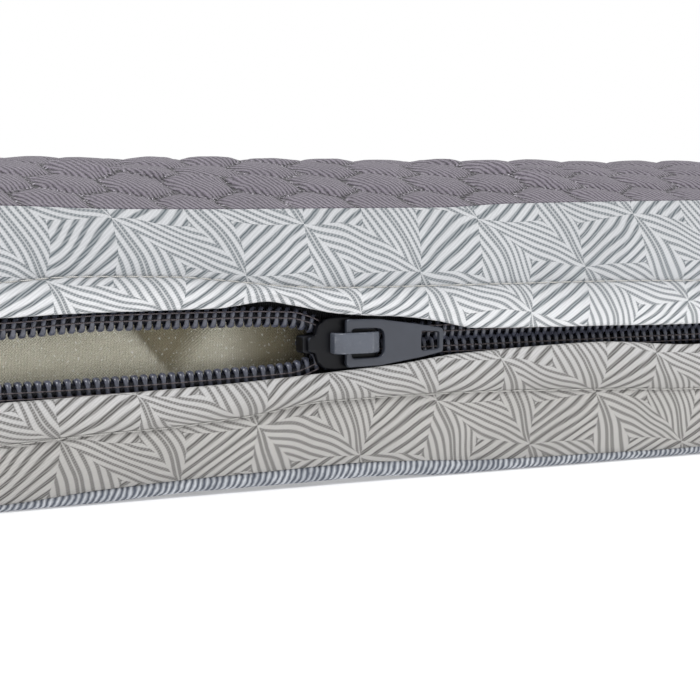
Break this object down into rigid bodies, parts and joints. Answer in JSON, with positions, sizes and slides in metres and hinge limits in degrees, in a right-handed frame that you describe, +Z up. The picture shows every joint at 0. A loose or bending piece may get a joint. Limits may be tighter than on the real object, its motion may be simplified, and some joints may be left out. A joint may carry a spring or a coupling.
{
  "type": "memory foam mattress",
  "caption": "Thin memory foam mattress with a quilted knit top, a zip-off printed border cloth part open on one long side, and piping round its foot.",
  "frame": {"origin": "middle of the underside, where the mattress rests", "axes": "+Z up, X along the length, -Y towards the long side with the zip"},
  "size_m": [1.905, 0.965, 0.076],
  "materials": {
    "support_foam": "matte",
    "memory_foam": "matte",
    "sleeve_knit": "matte",
    "scrim": "matte",
    "wadding": "matte",
    "quilt_knit": "matte",
    "base_cloth": "matte",
    "border_print": "matte",
    "welt_print": "matte",
    "piping_cord": "matte",
    "sewing_thread": "satin",
    "zip_nylon": "gloss",
    "zip_tape_cloth": "matte",
    "filler_yarn": "matte",
    "stop_metal": "satin",
    "slider_enamel": "satin",
    "crown_enamel": "satin",
    "pull_enamel": "satin",
    "label_cloth": "satin"
  },
  "bodies": {
    "cover_and_foam": {"support_foam_core": "support_foam", "memory_foam_layer": "memory_foam", "inner_sleeve": "sleeve_knit", "top_backing": "scrim", "top_wadding": "wadding", "top_knit_panel": "quilt_knit", "bottom_panel": "base_cloth", "welt_cord": "piping_cord", "welt_cover": "welt_print", "upper_border_front": "border_print", "lower_border_front": "border_print", "border_wrap": "border_print", "topstitch_upper": "sewing_thread", "topstitch_lower": "sewing_thread", "zip_coil_upper": "zip_nylon", "zip_coil_filler_upper": "filler_yarn", "zip_tape_upper": "zip_tape_cloth", "zip_coil_lower": "zip_nylon", "zip_coil_filler_lower": "filler_yarn", "zip_tape_lower": "zip_tape_cloth", "zip_top_stops": "stop_metal", "zip_bottom_stop": "stop_metal", "zip_end_patch_left": "border_print", "zip_end_patch_right": "border_print", "care_label": "label_cloth"},
    "slider": {"slider_body": "slider_enamel", "slider_crown": "crown_enamel"},
    "pull": {"pull_tab": "pull_enamel"}
  },
  "joints": [
    {"name": "slider_slide", "type": "slide", "parent": "cover_and_foam", "child": "slider", "axis": [1, 0, 0], "range_m": [-0.277, 1.395], "deforming": ["zip_coil_upper", "zip_coil_filler_upper", "zip_tape_upper", "zip_coil_lower", "zip_coil_filler_lower", "zip_tape_lower"]},
    {"name": "pull_hinge", "type": "hinge", "parent": "slider", "child": "pull", "pos_m": [-0.5579, -0.48035, 0.0327], "axis": [0, 0, 1], "range_deg": [-178, 0]}
  ]
}
